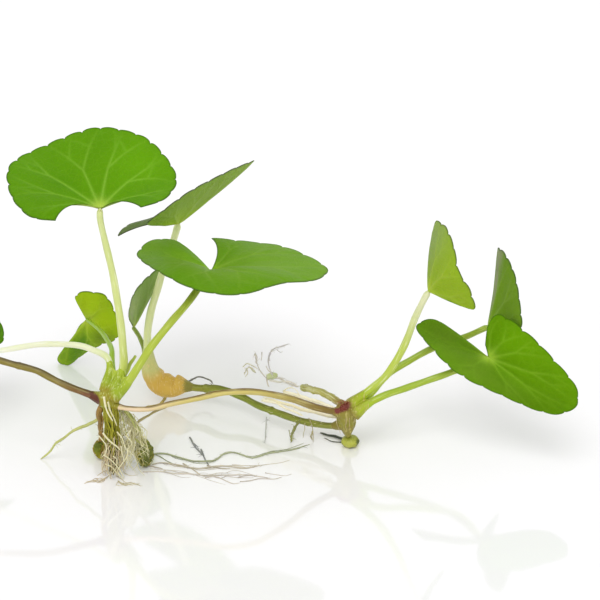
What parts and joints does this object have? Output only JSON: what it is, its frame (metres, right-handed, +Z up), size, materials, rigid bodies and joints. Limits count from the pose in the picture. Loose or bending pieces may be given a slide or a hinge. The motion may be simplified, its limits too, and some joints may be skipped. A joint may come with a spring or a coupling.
{
  "type": "creeping plant",
  "caption": "Gotu kola plant with its roots: fan-shaped scalloped leaves on long pale stalks, grouped in rosettes joined by thin runners, resting on its root clump, root lumps and a leaf tip.",
  "frame": {"origin": "middle of the footprint's bounding box, on the surface the plant rests on", "axes": "+X to the right as the picture shows the plant, along its longest extent; +Y away from the viewer; +Z up"},
  "size_m": [0.1471, 0.0594, 0.0748],
  "materials": {
    "leaf": "satin, saturated green upper side of a blade",
    "leaf_under": "satin, paler yellow-green underside",
    "leaf_dark": "satin, darker grey-green",
    "stalk": "smooth, slightly glossy, pale yellow-green",
    "runner_olive": "smooth, olive brown",
    "runner_pink": "smooth, pinkish tan",
    "crown_red": "matte, red-brown",
    "crown_orange": "matte, orange-yellow",
    "bud": "satin, yellowish green",
    "root": "matte, olive tan",
    "root_pale": "matte, pale straw",
    "root_dark": "matte, dark, with soil on it"
  },
  "bodies": {
    "root": {"crown_front": "crown_red", "crown_back": "crown_orange", "crown_right": "crown_red", "bud_right": "bud", "clod_left": "root_dark", "clod_right": "root_dark", "root_clump": "root", "leaf_front_tall": "leaf", "leaf_front_broad": "leaf", "leaf_front_low": "leaf_under", "leaf_front_side": "leaf", "leaf_back_edge": "leaf_under", "leaf_back_dark": "leaf_dark", "leaf_right_upright": "leaf_under", "leaf_right_narrow": "leaf_dark", "leaf_right_folded": "leaf", "stalk_front_tall": "stalk", "stalk_front_broad": "stalk", "stalk_front_low": "stalk", "stalk_front_side": "stalk", "stalk_back_edge": "stalk", "stalk_back_dark": "stalk", "stalk_right_upright": "stalk", "stalk_right_narrow": "stalk", "stalk_right_folded": "stalk", "runner_left": "runner_olive", "runner_front": "runner_pink", "runner_back": "runner_olive", "stub_right": "runner_olive", "sheath_front": "stalk", "root_stem": "root_dark", "root_side": "root", "root_taper": "root", "root_floor_long": "root_pale", "root_floor_mid": "root_pale", "root_floor_near": "root_pale", "root_floor_cross": "root_pale", "root_foot_left": "root_pale", "root_foot_right": "root_pale", "root_straw": "root_pale", "root_thread_right": "root", "root_thread_mid": "root", "root_thread_left": "root_pale", "root_under_back": "root", "root_loop_back": "root_dark", "root_dry_main": "root_pale", "root_dry_tall": "root_pale", "root_dry_low": "root_pale"}
  },
  "joints": []
}
